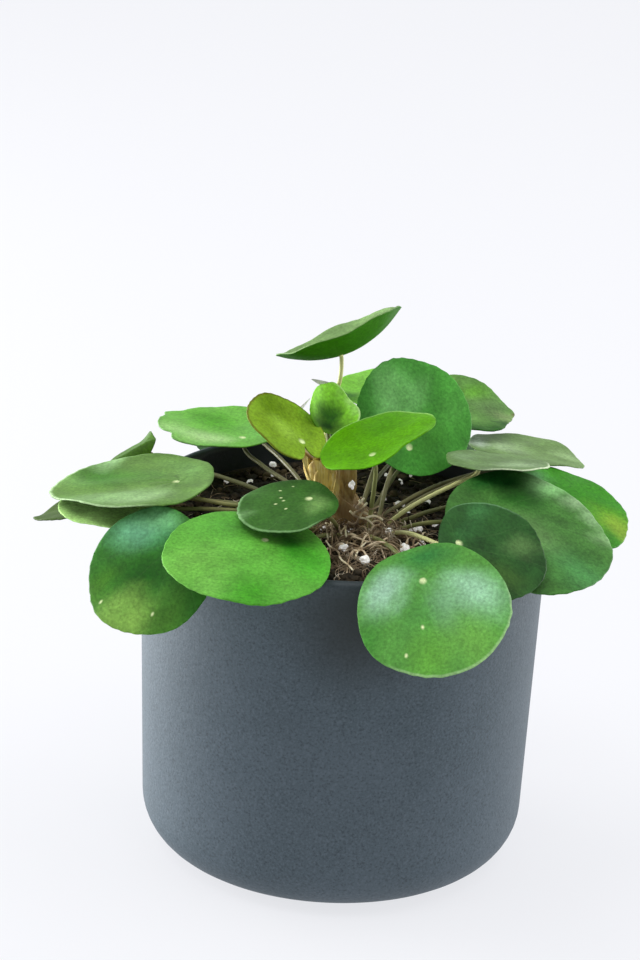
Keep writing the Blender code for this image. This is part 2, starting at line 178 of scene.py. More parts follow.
def applied(item, kind, **settings):
    modifier = item.modifiers.new(kind, kind)
    for key, value in settings.items():
        setattr(modifier, key, value)
    bpy.context.view_layer.objects.active = item
    bpy.ops.object.modifier_apply(modifier=modifier.name)


def cleaned(item):  # welds doubles and turns the faces outwards
    editMode(item)
    bpy.ops.mesh.select_all(action="SELECT")
    bpy.ops.mesh.remove_doubles(threshold=0.000001)
    bpy.ops.mesh.normals_make_consistent(inside=False)
    objectMode()


def fixedInPlace(item):  # puts the object's place, turn and scale into its mesh
    bpy.ops.object.select_all(action="DESELECT")
    item.select_set(True)
    bpy.context.view_layer.objects.active = item
    bpy.ops.object.transform_apply(location=True, rotation=True, scale=True)


def addPiece(item, name, material, slot, *nodes):
    item.name = name
    item.data.name = name
    item.data.materials.clear()
    item.data.materials.append(material)
    item.data.shade_smooth()
    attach(item, "root")
    if nodes:
        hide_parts(*nodes)
    return item


def tubes(name, paths, thickness, sides, steps):  # one mesh of round strands; a path is [(place, size)]
    data = added(bpy.ops.curve.primitive_bezier_curve_add).data
    data.splines.clear()
    for path in paths:
        strand = data.splines.new("BEZIER")
        strand.bezier_points.add(len(path) - 1)
        for knot, (place, size) in zip(strand.bezier_points, path):
            knot.co = place
            knot.radius = size
            knot.handle_left_type = knot.handle_right_type = "AUTO"
    data.dimensions = "3D"
    data.bevel_depth = thickness
    data.bevel_resolution = sides
    data.resolution_u = steps
    data.use_fill_caps = True
    bpy.ops.object.convert(target="MESH")
    item = bpy.context.object
    item.name = name
    cleaned(item)
    return item


def addCopy(shape, master):  # returns the copy's own points
    start = len(shape.verts)
    shape.from_mesh(master.data)
    shape.verts.ensure_lookup_table()
    return shape.verts[start:]


def joinedCopies(shape, masters):  # an object of all the copies in a shape; the masters go
    mesh = bpy.data.meshes.new("copies")
    shape.to_mesh(mesh)
    shape.free()
    item = bpy.data.objects.new("copies", mesh)
    bpy.context.scene.collection.objects.link(item)
    for master in masters:
        bpy.data.objects.remove(master)
    return item


def scattered(masters, placings):  # a placing is (which master, matrix)
    shape = bmesh.new()
    for number, matrix in placings:
        bmesh.ops.transform(shape, matrix=matrix, verts=addCopy(shape, masters[number]))
    return joinedCopies(shape, masters)


def nodeRings(node, firstRing):  # a CAD node's points, ring by ring outwards from the first one
    shape = bmesh.new()
    shape.from_mesh(frame["nodes"][node].data)
    bmesh.ops.remove_doubles(shape, verts=shape.verts, dist=0.01 * mm)
    shape.verts.index_update()
    shape.normal_update()
    rings = [firstRing(shape)]
    seen = set(rings[0])
    while rings[-1]:
        around = {edge.other_vert(vert) for vert in rings[-1] for edge in vert.link_edges} - seen
        seen |= around
        rings.append(sorted(around, key=lambda vert: vert.index))
    places = [[vert.co.copy() for vert in ring] for ring in rings if ring]
    shape.free()
    return places


# camera, first of all

view = {
    "place": (0.0, -1.7, 0.834),
    "turn": -0.37,  # degrees to the right
    "down": 21.53,
    "lean": 2.71,
    "lens": 165.34,
}


def addCamera():
    turn = Matrix.Rotation(math.radians(-view["turn"]), 3, "Z")
    down = Matrix.Rotation(math.radians(90 - view["down"]), 3, "X")
    lean = Matrix.Rotation(math.radians(view["lean"]), 3, "Z")
    rotation = (turn @ down @ lean).to_euler()
    camera = added(bpy.ops.object.camera_add, location=view["place"], rotation=rotation)
    camera.name = "photoCamera"
    camera.data.lens = view["lens"]
    bpy.context.scene.camera = camera


addCamera()
print("camera done")


# pot

pot = {
    "sides": 180,
    "wall": 5 * mm,
    "floor": 7 * mm,
    "footRadius": 79.6 * mm,
    "corner": 22 * mm,
    "lip": 2.4 * mm,
    "body": colour(63, 78, 87),
    "light": colour(90, 103, 114),
    "dark": colour(40, 52, 60),
    "paintedInnerShade": colour(20, 22, 24),  # painted shade on the inside wall
    "paintedShadow": (10 * mm, -86 * mm, 139 * mm),  # the middle of a painted shadow of the leaves under the rim
    "paintedShadowReach": 44 * mm,
    "paintedShadowTone": colour(12, 24, 24),
    "paintedInnerShadeFrom": 100 * mm,  # up the inside
}


def potFinish():
    finish = Finish("slatePot", 0.5)
    place = finish.objectPlace()
    clouds = finish.rise(finish.grain(place, 22, 4.0, 0.6), 0.3, 0.75)
    specks = finish.grain(place, 900, 2.0, 0.7)
    tone = finish.mix(clouds * 0.25, pot["body"], pot["light"])
    tone = finish.mix(finish.rise(specks, 0.5, 0.7) * 0.5, tone, pot["light"])
    tone = finish.mix(finish.rise(specks, 0.48, 0.3) * 0.7, tone, pot["dark"])
    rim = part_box("pot")[1].x
    flat = finish.stretched(place, (1, 1, 0))
    # painted shade on the inside wall, from a set height upwards
    inside = finish.rise(finish.away(flat, (0, 0, 0)), rim - 3 * mm, rim - 4.5 * mm)
    high = finish.rise(finish.axis(place, "Z"), pot["paintedInnerShadeFrom"], pot["paintedInnerShadeFrom"] + 10 * mm)
    tone = finish.mix(inside * high * 0.9, tone, pot["paintedInnerShade"])
    # painted shadow of the leaves on the pot's front, just under the rim
    paintedShadow = finish.away(place, pot["paintedShadow"]) + (clouds - 0.5) * 6 * mm
    tone = finish.mix(finish.rise(paintedShadow, pot["paintedShadowReach"], 4 * mm) * 0.9, tone, pot["paintedShadowTone"])
    height = specks + finish.grain(place, 260, 2.0) * 0.8
    return finish.done(tone, 0.55 + finish.grain(place, 60) * 0.12, height, 0.12 * mm)


def buildPot():
    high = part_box("pot")[1]
    rim, height = high.x, high.z
    item = added(
        bpy.ops.mesh.primitive_cylinder_add,
        vertices=pot["sides"], radius=rim, depth=height, location=(0, 0, height / 2),
    )
    fixedInPlace(item)
    editMode(item)
    foot = pot["footRadius"] / rim
    pick(item, "VERT", lambda vert: vert.co.z < mm)
    bpy.ops.transform.resize(value=(foot, foot, 1))
    pick(item, "FACE", lambda face: face.normal.z > 0.9)
    bpy.ops.mesh.inset(thickness=pot["wall"])
    down = Vector((0, 0, pot["floor"] - height))
    bpy.ops.mesh.extrude_region_move(TRANSFORM_OT_translate={"value": down})
    inner = (pot["footRadius"] - pot["wall"]) / (rim - pot["wall"])
    bpy.ops.transform.resize(value=(inner, inner, 1))

    def level(edge, low, top):
        return all(low < vert.co.z < top for vert in edge.verts)

    pick(item, "EDGE", lambda edge: level(edge, -mm, mm))
    bpy.ops.mesh.bevel(offset=pot["corner"], segments=12, affect="EDGES")
    pick(item, "EDGE", lambda edge: level(edge, pot["floor"] - mm, pot["floor"] + mm)
         and min(vert.co.xy.length for vert in edge.verts) < inner * rim
         and max(face.normal.z for face in edge.link_faces) > 0.99)
    bpy.ops.mesh.bevel(offset=pot["corner"] - pot["wall"], segments=6, affect="EDGES")
    pick(item, "EDGE", lambda edge: level(edge, height - 0.1 * mm, height + mm)
         and min(abs(face.normal.z) for face in edge.link_faces) < 0.5)
    bpy.ops.mesh.bevel(offset=pot["lip"], segments=5, affect="EDGES")
    objectMode()
    return addPiece(item, "slatePot", potFinish(), slotOf["pot"], "pot")


buildPot()
print("pot done")


# soil, with crumbs, perlite and loose fibres on it

soil = {
    "peak": (5 * mm, -48 * mm),
    "top": 151 * mm,
    "fall": 10 * mm,
    "spread": 62 * mm,
    "edge": 0.3 * mm,  # clear of the wall
    "reach": 78.5 * mm,  # how far out grains and fibres may lie
    "levels": (120 * mm, 70 * mm, 32 * mm, 14 * mm),  # rings down its side
    "corner": 24 * mm,
    "sole": 17 * mm,  # how far its flat underside keeps from the wall
    "cells": 170,
    "lumps": 1.5 * mm,
    "crumbs": 1100,
    "crumbSize": 2.1 * mm,
    "chips": 160,
    "chipSize": (1.6, 3.4),  # in mm
    "rough": 0.7,
    "dark": colour(34, 30, 22),
    "brown": colour(64, 54, 40),
    "dry": colour(108, 92, 68),
}

perlite = {  # where the white grains lie, in mm from the pot's axis, and how many more there are
    "places": (
        (2, 51), (-32, 69), (-31, 56), (-51, 47), (-41, 46), (-46, 68), (17, 62), (23, 54),
        (27, 64), (-20, 40), (-34, 34), (17, 30), (23, 22), (2, 20),
    ),
    "large": ((28, -18), (19, -28), (0, -48), (9, -60), (25, -45)),  # on top of the fibres
    "largeSize": (1.8 * mm, 2.3 * mm),
    "caught": (2.3, -27.0, 172.5),  # one held by the trunk's sheaths
    "caughtSize": (1.1 * mm, 1.1 * mm, 1.7 * mm),
    "more": 20,
    "size": (1.0 * mm, 2.1 * mm),
    "rough": 0.55,
    "tone": colour(250, 249, 247),
    "shade": colour(222, 218, 210),
    "paintedGlow": 0.3,  # painted glow, so the grains stay bright in the leaves' shade
}

fibres = {
    "heaps": (  # how many, middle, spread and height of arch in mm, and how much they wander
        (720, (6, -38), (12, 20), (0.8, 4.0), 0.5),  # round the trunk
        (220, (9, -27), (9, 8), (3.0, 9.0), 0.9),  # heaped at its foot
        (260, None, None, (0.5, 2.2), 0.35),  # anywhere on the soil
    ),
    "length": (9 * mm, 30 * mm),
    "thick": 0.2 * mm,
    "sides": 0,
    "steps": 3,
    "light": colour(216, 204, 182),
    "brown": colour(152, 132, 106),
    "dark": colour(92, 74, 54),
    "palest": 0.55,  # less makes more of them light
}

looseRoots = {  # pale roots, thicker than the fibres
    "heaps": ((84, (8, -33), (11, 15), (2.0, 9.0), 0.9),),
    "length": (12 * mm, 30 * mm),
    "thick": 0.42 * mm,
    "sides": 1,
    "steps": 4,
    "light": colour(232, 212, 180),
    "brown": colour(178, 150, 116),
    "dark": fibres["brown"],
    "palest": 0.46,
}

paleStrands = {  # the thickest, in mm; the curled ones lean on the trunk, the laid ones lie on the soil
    "thick": 0.5 * mm,
    "sides": 1,
    "steps": 6,
    "lift": 4.0 * mm,
    "rise": 3.0 * mm,  # more lift in front of the trunk, where the fibres are heaped
    "heap": (-3, -34, 16),  # that heap's middle and reach
    "curled": (
        ((1.5, -31.5, 157.9), (3.9, -30.9, 156.9), (6.2, -31.5, 160.8), (7.7, -30.9, 164.6),
         (6.2, -31.5, 169.2)),
        ((2.0, -32.0, 163.0), (5.0, -31.4, 160.3), (8.7, -32.0, 159.9), (12.6, -31.4, 156.3)),
        ((5.5, -33.0, 168.4), (8.0, -32.4, 165.7), (10.5, -33.0, 164.8), (13.7, -32.4, 166.0)),
        ((3.6, -31.0, 165.3), (6.9, -30.4, 162.6), (10.7, -31.0, 161.3), (14.8, -30.4, 160.0),
         (15.4, -31.0, 157.6)),
        ((8.8, -34.0, 167.7), (6.5, -33.4, 164.7), (3.7, -34.0, 163.0)),
        ((8.7, -32.5, 160.5), (11.9, -31.9, 161.3), (15.7, -32.5, 160.0)),
        ((4.4, -33.5, 164.6), (5.9, -32.9, 167.1), (7.5, -33.5, 169.6)),
    ),
    "laid": (
        ((-7.6, -25), (-7.2, -35), (-6.3, -45.8)),
        ((-5.5, -26), (-4.9, -35), (-5.5, -43.6)),
        ((-2.1, -32.3), (-1.9, -37), (-1.1, -40.9)),
        ((1.1, -28.7), (0.6, -36), (1.0, -42.7)),
        ((-0.5, -30.0), (0.2, -34), (-1.5, -39.8)),
        ((-7.1, -45.9), (-5.4, -50.5), (-2.4, -55.0), (-0.6, -63.0), (2.2, -67.5), (4.3, -71.9)),
        ((9.5, -43.7), (5.7, -56.0), (5.0, -62.4)),
        ((20.4, 16.2), (21.3, 8.4), (22.2, 0.6)),
    ),
    "light": colour(250, 240, 208),
    "brown": colour(226, 206, 166),
    "dark": fibres["brown"],
    "palest": 0.45,
}


def soilHeight(x, y):
    away = math.hypot(x - soil["peak"][0], y - soil["peak"][1]) / soil["spread"]
    return soil["top"] - soil["fall"] * (1 - math.exp(-away * away))


def cavityRadius(z):
    rim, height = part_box("pot")[1].x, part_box("pot")[1].z
    return pot["footRadius"] + (rim - pot["footRadius"]) * z / height - pot["wall"]


def soilFinish():
    finish = Finish("pottingSoil", 0.25)
    place = finish.objectPlace()
    coarse = finish.grain(place, 160, 5.0, 0.65)
    fine = finish.grain(place, 900, 3.0, 0.6)
    tone = finish.mix(finish.rise(coarse, 0.4, 0.68), soil["dark"], soil["brown"])
    tone = finish.mix(finish.rise(fine, 0.6, 0.75) * 0.5, tone, soil["dry"])
    return finish.done(tone, 0.85 + fine * 0.15, coarse * 2.0 + fine, 0.5 * mm)


def buildSoil():
    cells = soil["cells"]
    item = added(bpy.ops.mesh.primitive_grid_add, x_subdivisions=cells, y_subdivisions=cells, size=2)
    side = soil["reach"]
    lowest = min(soilHeight(x, y) for x, y in ((0, side), (-side, 0), (side, 0)))
    edge = cavityRadius(lowest) - soil["edge"]
    for vert in item.data.vertices:  # the square grid is drawn into a disc
        x, y = vert.co.x, vert.co.y
        spot = edge * Vector((x * math.sqrt(1 - y * y / 2), y * math.sqrt(1 - x * x / 2)))
        inside = min(1.0, (edge - spot.length) / (4 * mm))
        near = noise.voronoi(Vector((spot.x, spot.y, 0.0)) / (3.2 * mm))[0][0]
        clods = noise.fractal(Vector((spot.x, spot.y, 0.02)) * 90, 0.8, 2.1, 4)
        lift = soil["lumps"] * ((0.5 - near) * 0.7 + clods * 0.9) * inside
        vert.co = (spot.x, spot.y, soilHeight(spot.x, spot.y) + lift)
    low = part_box("soil")[0].z
    editMode(item)
    bpy.ops.mesh.select_all(action="SELECT")
    bpy.ops.mesh.region_to_loop()
    bpy.ops.mesh.extrude_region_move()
    bpy.ops.transform.resize(value=(1, 1, 0))
    objectMode()
    for vert in item.data.vertices:
        if vert.select:
            vert.co.z = soil["levels"][0]
    editMode(item)
    for z in (*soil["levels"][1:], low):
        bpy.ops.mesh.extrude_region_move()
        objectMode()
        corner = max(0.0, soil["corner"] - z)
        radius = cavityRadius(z) - soil["edge"] - (soil["sole"] if z == low else corner * 0.8)
        for vert in item.data.vertices:
            if vert.select:
                vert.co = (*(vert.co.xy.normalized() * radius), z)
        editMode(item)
    bpy.ops.mesh.edge_face_add()
    objectMode()
    cleaned(item)
    return addPiece(item, "pottingSoil", soilFinish(), slotOf["soil"], "soil")


def lump(draw, rough, faces=2):  # one rough grain, about 1 across its radius
    item = added(bpy.ops.mesh.primitive_ico_sphere_add, subdivisions=faces, radius=1.0)
    start = Vector((draw.uniform(0, 50), draw.uniform(0, 50), draw.uniform(0, 50)))
    for vert in item.data.vertices:
        vert.co *= 1 + rough * noise.noise(vert.co * 1.3 + start)
    return item


def lying(draw, x, y, size, flatness, sunk=0.3):  # a grain's place on the soil
    turn = Matrix.Rotation(draw.uniform(0, math.tau), 4, "Z")
    tip = Matrix.Rotation(draw.uniform(0, math.tau), 4, "X")
    squash = Matrix.Diagonal((1, draw.uniform(0.7, 1.0), flatness, 1))
    up = Vector((x, y, soilHeight(x, y) + size * flatness * (1 - sunk)))
    return Matrix.Translation(up) @ turn @ squash @ tip @ Matrix.Scale(size, 4)


def onSoil(draw, reach=0.95):
    far = soil["reach"] * reach * math.sqrt(draw.random())
    angle = draw.uniform(0, math.tau)
    return far * math.cos(angle), far * math.sin(angle)


def crumbFinish():
    finish = Finish("soilCrumbs", 0.25)
    place = finish.objectPlace()
    tones = finish.rise(finish.grain(place, 210, 1.0), 0.35, 0.7)
    tone = finish.mix(tones, soil["dark"], soil["brown"])
    tone = finish.mix(finish.rise(finish.grain(place, 75, 1.0), 0.58, 0.66) * 0.7, tone, soil["dry"])
    return finish.done(tone, 0.85 + tones * 0.1, finish.grain(place, 1400, 2.0), 0.25 * mm)


def buildCrumbs():
    draw = random.Random(5)
    masters = [lump(draw, soil["rough"]) for number in range(4)]
    placings = []
    for number in range(soil["crumbs"]):
        x, y = onSoil(draw)
        size = draw.uniform(0.5, 1.0) ** 2 * soil["crumbSize"]
        placings.append((number % 4, lying(draw, x, y, size, draw.uniform(0.6, 0.95))))
    for number in range(soil["chips"]):  # flat scraps of bark
        x, y = onSoil(draw)
        size = draw.uniform(*soil["chipSize"]) * mm
        placings.append((number % 4, lying(draw, x, y, size, draw.uniform(0.2, 0.3), sunk=0.0)))
    return addPiece(scattered(masters, placings), "soilCrumbs", crumbFinish(), slotOf["soil"])


def perliteFinish():
    finish = Finish("perlite", 0.3)
    place = finish.objectPlace()
    pits = finish.grain(place, 1100, 2.0)
    tone = finish.mix(finish.rise(pits, 0.4, 0.6), perlite["shade"], perlite["tone"])
    # painted glow: the grains give off a little light of their own
    finish.set("Emission Color", tone)
    finish.set("Emission Strength", perlite["paintedGlow"])
    return finish.done(tone, 0.75 + pits * 0.2, pits, 0.12 * mm)


def buildPerlite():
    draw = random.Random(8)
    masters = [lump(draw, perlite["rough"], 3) for number in range(4)]
    spots = [(x * mm, y * mm) for x, y in perlite["places"]]
    spots += [onSoil(draw) for number in range(perlite["more"])]
    placings = []
    for number, (x, y) in enumerate(spots):
        size = draw.uniform(*perlite["size"])
        placings.append((number % 4, lying(draw, x, y, size, draw.uniform(0.75, 0.95), sunk=0.1)))
    for number, (x, y) in enumerate(perlite["large"]):
        size = draw.uniform(*perlite["largeSize"])
        placings.append((number % 4, lying(draw, x * mm, y * mm, size, 0.9, sunk=-0.6)))
    caught = Matrix.Translation(Vector(perlite["caught"]) * mm)
    placings.append((2, caught @ Matrix.Diagonal((*perlite["caughtSize"], 1))))
    return addPiece(scattered(masters, placings), "perlite", perliteFinish(), slotOf["soil"])


def strand(draw, x, y, length, wander, hump):  # a thread that wanders over the soil
    angle = draw.uniform(0, math.tau)
    bend = draw.uniform(-wander, wander)
    knots = draw.randint(6, 9)
    path = []
    for number in range(knots):
        share = number / (knots - 1)
        lift = hump * math.sin(math.pi * share) * draw.uniform(0.5, 1.0) - 0.2 * mm
        if math.hypot(x, y) < soil["reach"] - 1.5 * mm:
            path.append((Vector((x, y, soilHeight(x, y) + lift)), draw.uniform(0.7, 1.1)))
        angle += bend + draw.uniform(-wander, wander) * 0.6
        x += length / knots * math.cos(angle)
        y += length / knots * math.sin(angle)
    return path


def strandFinish(name, kind):
    finish = Finish(name, 0.3)
    place = finish.objectPlace()
    tones = finish.grain(place, 130, 2.0)
    tone = finish.mix(finish.rise(tones, 0.38, 0.5), kind["dark"], kind["brown"])
    tone = finish.mix(finish.rise(tones, kind["palest"], kind["palest"] + 0.12), tone, kind["light"])
    return finish.done(tone, 0.7 + tones * 0.2, finish.grain(place, 2200, 2.0), 0.08 * mm)


def buildStrands(name, kind, paths):
    item = tubes(name, paths, kind["thick"], kind["sides"], kind["steps"])
    return addPiece(item, name, strandFinish(name, kind), slotOf["soil"])


def heapedPaths(kind, seed):
    draw = random.Random(seed)
    paths = []
    for count, middle, spread, arch, wander in kind["heaps"]:
        for number in range(count):
            if middle:
                x, y = (draw.gauss(at * mm, by * mm) for at, by in zip(middle, spread))
            else:
                x, y = onSoil(draw, 0.9)
            hump = draw.uniform(*arch) * mm
            paths.append(strand(draw, x, y, draw.uniform(*kind["length"]), wander, hump))
    return [path for path in paths if len(path) > 3]


def placedPaths():  # the pale strands, each where it lies
    paths = []
    for knots in paleStrands["curled"]:
        paths.append([(Vector(knot) * mm, 1.1 - 0.12 * number) for number, knot in enumerate(knots)])
    middleX, middleY, reach = paleStrands["heap"]
    for knots in paleStrands["laid"]:
        path = []
        for x, y in knots:
            heaped = max(0.0, 1.0 - math.hypot(x - middleX, y - middleY) / reach)
            z = soilHeight(x * mm, y * mm) + paleStrands["lift"] + heaped * paleStrands["rise"]
            path.append((Vector((x * mm, y * mm, z)), 0.75))
        paths.append(path)
    return paths


buildSoil()
buildCrumbs()
buildPerlite()
buildStrands("soilFibres", fibres, heapedPaths(fibres, 17))
buildStrands("looseRoots", looseRoots, heapedPaths(looseRoots, 29))
buildStrands("paleStrands", paleStrands, placedPaths())
print("soil done")


# trunk, with its papery sheaths

trunk = {
    "foot": (4 * mm, -16 * mm),
    "head": (-10 * mm, -13 * mm),
    "radius": 8 * mm,
    "sides": 48,
    "rings": 22,
    "ridges": 0.9 * mm,
    "bands": 34,  # how closely its old rings lie
    "taper": 0.16,
    "swelling": (0.16, 0.3, 0.16),  # how much, and where and how far along, as shares of its height
    "brown": colour(176, 146, 94),
    "golden": colour(222, 198, 122),
    "dark": colour(112, 86, 54),
    "old": colour(122, 94, 62),
    "russet": colour(148, 114, 68),
}

sheaths = {
    "count": 20,
    "turn": 2.4,  # from one to the next, in radians
    "whole": 6,  # the lowest go all round, the others leave the right side bare
    "reach": 1.03,  # of the trunk's radius
    "width": 11 * mm,
    "length": (14 * mm, 22 * mm),
    "thick": 0.3 * mm,
    "light": colour(246, 228, 160),
    "golden": colour(230, 202, 104),
    "brown": colour(178, 144, 78),
}

crown = {  # the dry scraps round the young leaves' feet, as places of foot and tip in mm, width and bow
    "scraps": (
        ((-5, -20, 160), (-20, -17.5, 184), 8, 0.5),
        ((-6, -20.5, 158), (-14, -20, 181), 8.5, 0.8),
        ((-6, -21, 157), (-8, -22, 180), 10, 1.5),
        ((-3, -20, 156), (0.8, -19.5, 187), 9, 1.2),
        ((-0.5, -19, 156), (0.3, -20, 170), 6, 0.5),
        ((-11, -17, 166), (-17.5, -15.5, 187), 3.2, 0.6),
        ((-4.8, -25.5, 163), (-3.4, -25.2, 182), 2.2, 0.4),
    ),
    "light": colour(244, 228, 164),
    "golden": colour(220, 196, 108),
    "brown": colour(174, 142, 78),
}

bracts = {  # two papery points behind the young leaves
    "scraps": (
        ((-12, -8, 177), (-16.3, -2, 200.3), 5.0, -10.0),
        ((-5.2, 8.2, 201.4), (-16.8, 8.6, 204.4), 2.6, -0.3),
    ),
    "light": colour(250, 246, 252),
    "golden": colour(238, 230, 238),
    "brown": colour(196, 184, 188),
}


def trunkMiddle(z):
    ground = soilHeight(*trunk["foot"])
    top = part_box("trunk")[1].z
    share = min(1.0, max(0.0, (z - ground) / (top - ground)))
    bend = share * share * (3 - 2 * share)
    return Vector(trunk["foot"]).lerp(Vector(trunk["head"]), bend)


def lowDark(finish, place, tone):  # old dark fibre near the soil, under the golden crown
    high = finish.axis(place, "Z") + (finish.grain(place, 160, 2.0) - 0.5) * 14 * mm
    right = finish.axis(place, "X") + (finish.grain(place, 220, 2.0) - 0.5) * 4 * mm
    tone = finish.mix(finish.rise(right, -5 * mm, -2 * mm) * 0.6, tone, trunk["russet"])
    return finish.mix(finish.rise(high, 170 * mm, 160 * mm) * 0.8, tone, trunk["old"])


def barkFinish():
    finish = Finish("trunkBark", 0.3)
    place = finish.objectPlace()
    streaks = finish.grain(finish.stretched(place, (1, 1, 0.18)), 420, 4.0, 0.6)
    patches = finish.grain(place, 90, 3.0)
    height = finish.rise(finish.axis(place, "Z"), soil["top"] - 4 * mm, soil["top"] + 22 * mm)
    tone = finish.mix(finish.rise(streaks, 0.35, 0.6), trunk["dark"], trunk["brown"])
    golden = finish.rise(patches + height * 0.35, 0.5, 0.85)
    tone = finish.mix(golden * finish.rise(streaks, 0.4, 0.55), tone, trunk["golden"])
    tone = lowDark(finish, place, tone)
    return finish.done(tone, 0.7 + streaks * 0.2, streaks, 0.5 * mm)


def buildTrunk():
    low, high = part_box("trunk")
    item = added(
        bpy.ops.mesh.primitive_circle_add,
        vertices=trunk["sides"], radius=trunk["radius"], fill_type="NGON", location=(0, 0, low.z),
    )
    fixedInPlace(item)
    editMode(item)
    bpy.ops.mesh.select_all(action="SELECT")
    step = (high.z - low.z) / trunk["rings"]
    for number in range(trunk["rings"]):
        bpy.ops.mesh.extrude_region_move(TRANSFORM_OT_translate={"value": (0, 0, step)})
    bpy.ops.mesh.inset(thickness=trunk["radius"] * 0.4)
    objectMode()
    much, where, along = trunk["swelling"]
    for vert in item.data.vertices:  # leans, swells and gets ridged bark
        z = vert.co.z
        middle = trunkMiddle(z)
        angle = math.atan2(vert.co.y, vert.co.x)
        share = (z - low.z) / (high.z - low.z)
        out = Vector((math.cos(angle), math.sin(angle)))
        ridge = noise.fractal(Vector((out.x * 3.2, out.y * 3.2, z * 55)), 0.9, 2.2, 3)
        rings = 0.4 * math.sin(share * trunk["bands"] + 1.4 * math.sin(angle))
        swell = 1.02 - trunk["taper"] * share + much * math.exp(-((share - where) / along) ** 2)
        radius = vert.co.xy.length * swell + trunk["ridges"] * (ridge + rings * 0.6) * 0.8
        vert.co = (*(middle + out * radius), z)
    cleaned(item)
    return addPiece(item, "trunkBark", barkFinish(), slotOf["trunk"], "trunk")


def sheathFinish(name, paper):
    finish = Finish(name, 0.35)
    place = finish.objectPlace()
    streaks = finish.grain(finish.stretched(place, (1, 1, 0.12)), 900, 3.0, 0.6)
    patches = finish.grain(place, 130, 2.0)
    tone = finish.mix(finish.rise(patches, 0.36, 0.52), paper["brown"], paper["golden"])
    tone = finish.mix(finish.rise(streaks, 0.48, 0.62) * 0.75, tone, paper["light"])
    tone = finish.mix(finish.rise(streaks, 0.44, 0.36) * 0.6, tone, paper["brown"])
    tone = lowDark(finish, place, tone)
    return finish.done(tone, 0.55 + streaks * 0.25, streaks, 0.25 * mm)


def sheath():  # a pointed scrap, wrapped round the trunk; foot at the origin, tip up +Z, out along +X
    item = added(bpy.ops.mesh.primitive_grid_add, x_subdivisions=10, y_subdivisions=14, size=1)
    for vert in item.data.vertices:
        side = vert.co.x * 2
        share = vert.co.y + 0.5
        wide = math.sin(math.pi * (0.22 + 0.78 * share) ** 0.9) ** 0.8 if share < 1 else 0.0
        vert.co = (0.0, side * wide / 2, share)
    return item


def paperPiece(name, paper, shape, master):
    item = joinedCopies(shape, [master])
    cleaned(item)
    applied(item, "SOLIDIFY", thickness=sheaths["thick"], offset=0.0)
    return addPiece(item, name, sheathFinish(name, paper), slotOf["trunk"])


def buildSheaths():
    draw = random.Random(41)
    ground = soilHeight(*trunk["foot"])
    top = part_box("trunk")[1].z
    master = sheath()
    shape = bmesh.new()
    for number in range(sheaths["count"]):
        share = (number + 0.5) / sheaths["count"]
        base = ground - 1 * mm + (top - ground - 3 * mm) * share
        bearing = number * sheaths["turn"] + draw.uniform(-0.5, 0.5)
        if math.cos(bearing) > 0.35 and number >= sheaths["whole"]:
            continue
        long = draw.uniform(*sheaths["length"])
        lean = draw.uniform(0.0, 0.1)
        for vert in addCopy(shape, master):
            side, up = vert.co.y, vert.co.z
            z = min(base + up * long, top + 5 * mm)
            radius = trunk["radius"] * (sheaths["reach"] - 0.1 * share) + lean * long * up ** 2.2 * 0.5
            curl = 0.3 * mm * math.sin(up * 7 + number) * up
            angle = bearing + side * sheaths["width"] / radius
            middle = trunkMiddle(z)
            place = middle + Vector((math.cos(angle), math.sin(angle))) * (radius + curl)
            vert.co = (place.x, place.y, z)
    return paperPiece("paperySheaths", sheaths, shape, master)


def buildScraps(name, paper):  # pointed dry scraps, each from its foot to its tip
    master = sheath()
    shape = bmesh.new()
    for foot, tip, width, bow in paper["scraps"]:
        foot, tip = Vector(foot) * mm, Vector(tip) * mm
        up = tip - foot
        across = Vector((up.z, 0, -up.x)).normalized()
        out = across.cross(up).normalized()
        for vert in addCopy(shape, master):
            side, share = vert.co.y, vert.co.z
            bend = across * bow * mm * math.sin(math.pi * share)
            hollow = out * width * mm * (0.25 - side * side) * (1 - share * 0.5)
            vert.co = foot + up * share + across * side * width * mm + bend - hollow
    return paperPiece(name, paper, shape, master)


buildTrunk()
buildSheaths()
buildScraps("crownScraps", crown)
buildScraps("paperyBracts", bracts)
print("trunk done")


# leaf blades: each takes its place and form from its CAD node, and is finer

blade = {
    "sectors": 120,
    "shares": [1.0, 0.988, 0.96] + [0.92 - 0.06 * step for step in range(14)] + [0.1, 0.075, 0.05, 0.025],
    "cadShares": (0.4, 0.72, 1.0),  # where the CAD blade's three rings lie between hub and edge
    "cadSpokes": 20,
    "thick": 0.6 * mm,
    "rolled": 0.12 * mm,  # how far the very edge turns down
    "hub": 1.3 * mm,
    "dip": 0.12 * mm,
    "scallops": 31,
    "scallopDepth": 0.006,
    "ripple": 0.4 * mm,
    "rim": 0.5 * mm,
    "speck": 0.035,  # share of the blade's radius
    "vein": colour(150, 196, 120),
    "hubTone": colour(226, 240, 178),
}
